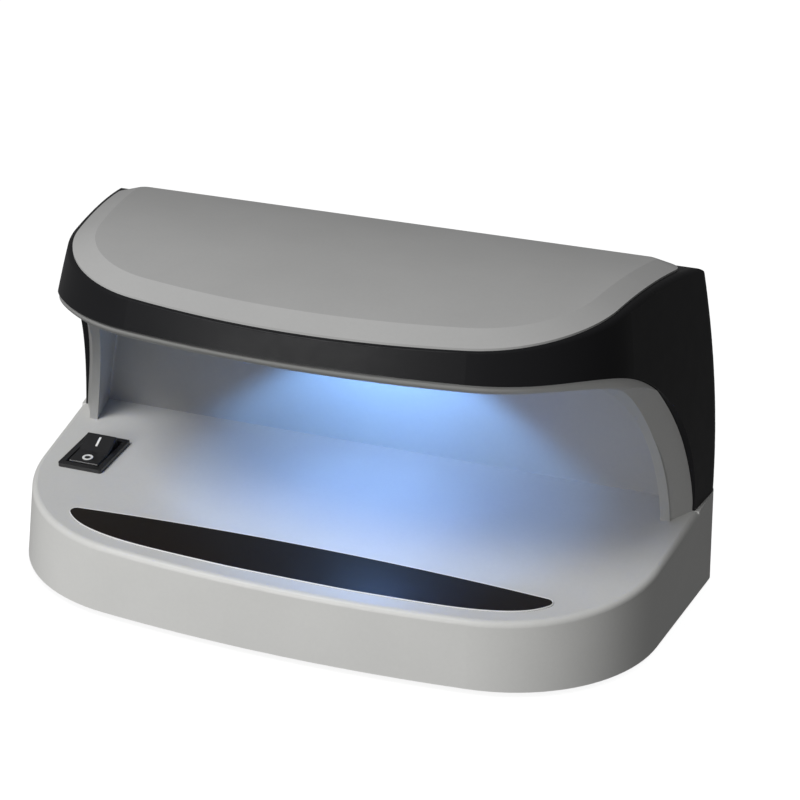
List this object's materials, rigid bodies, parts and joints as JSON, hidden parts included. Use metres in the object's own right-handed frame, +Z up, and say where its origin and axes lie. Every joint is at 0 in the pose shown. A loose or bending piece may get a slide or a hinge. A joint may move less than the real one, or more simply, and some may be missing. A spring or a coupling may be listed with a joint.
{
  "type": "counterfeit bill detector",
  "caption": "Bench-top ultraviolet note checker: a sloping D-plan base with a rocker switch and a cantilevered lamp hood that stands over the viewing deck.",
  "frame": {"origin": "middle of the footprint, on the plane that the feet stand on", "axes": "+X to the object's right seen from the front, +Y to the rear, +Z up"},
  "size_m": [0.2158, 0.1026, 0.1079],
  "materials": {
    "grey_shell": "satin moulded ABS",
    "dark_cover": "fine-textured ABS",
    "screw_steel": "zinc plated",
    "foot_rubber": "moulded rubber",
    "strip_plate": "dark printed film",
    "black_shell": "satin moulded ABS",
    "lid_plastic": "metallic grey painted ABS",
    "lining_plastic": "satin moulded ABS",
    "switch_black": "moulded nylon",
    "rocker_black": "moulded nylon",
    "mark_white": "white moulded inlay",
    "contact_brass": "tinned brass",
    "inlet_black": "moulded nylon",
    "lamp_black": "moulded nylon",
    "filter_glass": "violet filter glass",
    "cup_chrome": "vacuum-metallised cup",
    "led_board_white": "white solder mask on aluminium",
    "led_dome": "silicone dome",
    "sink_aluminium": "extruded aluminium",
    "board_laminate": "phenolic paper laminate",
    "ferrite": "sintered ferrite",
    "winding_tape": "yellow polyester tape",
    "can_sleeve": "shrink sleeve",
    "film_box": "epoxy box",
    "package_epoxy": "moulded epoxy",
    "resistor_body": "lacquered ceramic",
    "fuse_glass": "glass cartridge",
    "terminal_green": "moulded polyamide",
    "wire_brown": "PVC insulation",
    "wire_blue": "PVC insulation",
    "wire_white": "PVC insulation"
  },
  "bodies": {
    "housing": {"base_shell": "grey_shell", "bottom_cover": "dark_cover", "bottom_screws": "screw_steel", "rubber_feet": "foot_rubber", "label_strip": "strip_plate", "hood_shell": "black_shell", "hood_lid": "lid_plastic", "hood_lining": "lining_plastic", "hood_screws": "screw_steel", "lid_screws": "screw_steel", "switch_housing": "switch_black", "switch_terminals": "contact_brass", "inlet_housing": "inlet_black", "inlet_pins": "contact_brass", "lamp_housing": "lamp_black", "lamp_filter": "filter_glass", "reflector_cup": "cup_chrome", "led_board": "led_board_white", "uv_led": "led_dome", "lamp_heatsink": "sink_aluminium", "lamp_screws": "screw_steel", "circuit_board": "board_laminate", "transformer_core": "ferrite", "transformer_winding": "winding_tape", "can_capacitors": "can_sleeve", "film_capacitors": "film_box", "power_transistors": "package_epoxy", "resistors": "resistor_body", "fuse": "fuse_glass", "terminal_blocks": "terminal_green", "board_screws": "screw_steel", "mains_wires": "wire_brown", "switch_wires": "wire_blue", "lamp_wires": "wire_white"},
    "rocker": {"switch_rocker": "rocker_black", "rocker_marks": "mark_white"}
  },
  "joints": [
    {"name": "rocker_pivot", "type": "hinge", "parent": "housing", "child": "rocker", "pos_m": [-0.0839, 0.0021, 0.02598], "axis": [1, 0, 0], "range_deg": [-24, 0]}
  ]
}
